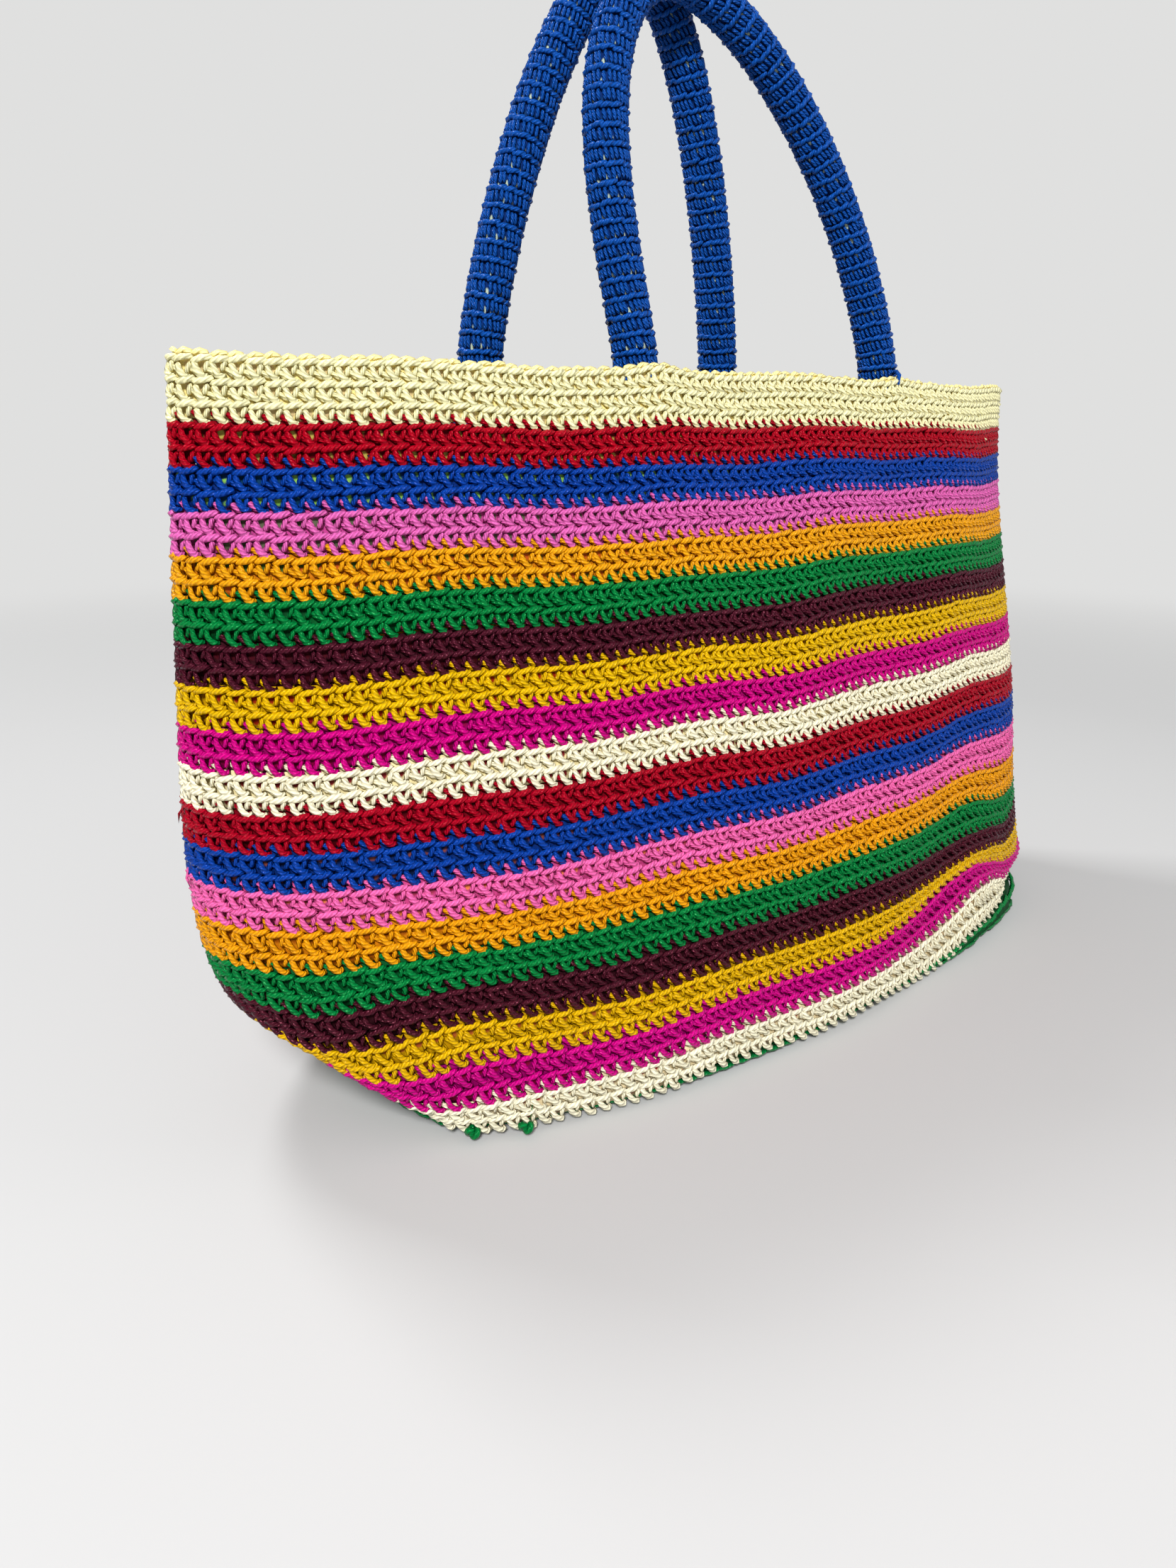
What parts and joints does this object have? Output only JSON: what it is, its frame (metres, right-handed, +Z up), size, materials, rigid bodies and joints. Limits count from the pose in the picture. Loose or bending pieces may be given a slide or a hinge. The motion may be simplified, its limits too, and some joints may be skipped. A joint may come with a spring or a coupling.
{
  "type": "crochet basket bag",
  "caption": "Striped crocheted tote with an oval base, a pointed open mouth and tubular handles that swing from the rim.",
  "frame": {"origin": "on the ground under the middle of the bag", "axes": "+X along the bag's length, +Y through its depth towards the back, +Z up; the front faces -Y"},
  "size_m": [0.506, 0.1876, 0.4787],
  "materials": {
    "cream_yarn": "satin crochet cord",
    "red_yarn": "satin crochet cord",
    "blue_yarn": "satin crochet cord",
    "pink_yarn": "satin crochet cord",
    "orange_yarn": "satin crochet cord",
    "green_yarn": "satin crochet cord",
    "burgundy_yarn": "satin crochet cord",
    "yellow_yarn": "satin crochet cord",
    "magenta_yarn": "satin crochet cord",
    "hose": "pale translucent hose"
  },
  "bodies": {
    "bag": {"band_01_cream": "cream_yarn", "band_02_red": "red_yarn", "band_03_blue": "blue_yarn", "band_04_pink": "pink_yarn", "band_05_orange": "orange_yarn", "band_06_green": "green_yarn", "band_07_burgundy": "burgundy_yarn", "band_08_yellow": "yellow_yarn", "band_09_magenta": "magenta_yarn", "band_10_cream": "cream_yarn", "band_11_red": "red_yarn", "band_12_blue": "blue_yarn", "band_13_pink": "pink_yarn", "band_14_orange": "orange_yarn", "band_15_green": "green_yarn", "band_16_burgundy": "burgundy_yarn", "band_17_yellow": "yellow_yarn", "band_18_magenta": "magenta_yarn", "band_19_cream": "cream_yarn", "base_green": "green_yarn", "front_handle_left_end": "blue_yarn", "front_handle_right_end": "blue_yarn", "back_handle_left_end": "blue_yarn", "back_handle_right_end": "blue_yarn", "yarn_knot_1": "green_yarn", "yarn_knot_2": "green_yarn"},
    "front_handle": {"front_handle_sleeve": "blue_yarn", "front_handle_core": "hose"},
    "back_handle": {"back_handle_sleeve": "blue_yarn", "back_handle_core": "hose"}
  },
  "joints": [
    {"name": "front_handle_swing", "type": "hinge", "parent": "bag", "child": "front_handle", "pos_m": [0, -0.03609, 0.2927], "axis": [1, 0, 0], "range_deg": [0, 160]},
    {"name": "back_handle_swing", "type": "hinge", "parent": "bag", "child": "back_handle", "pos_m": [0, 0.037, 0.2927], "axis": [-1, 0, 0], "range_deg": [0, 160]}
  ]
}
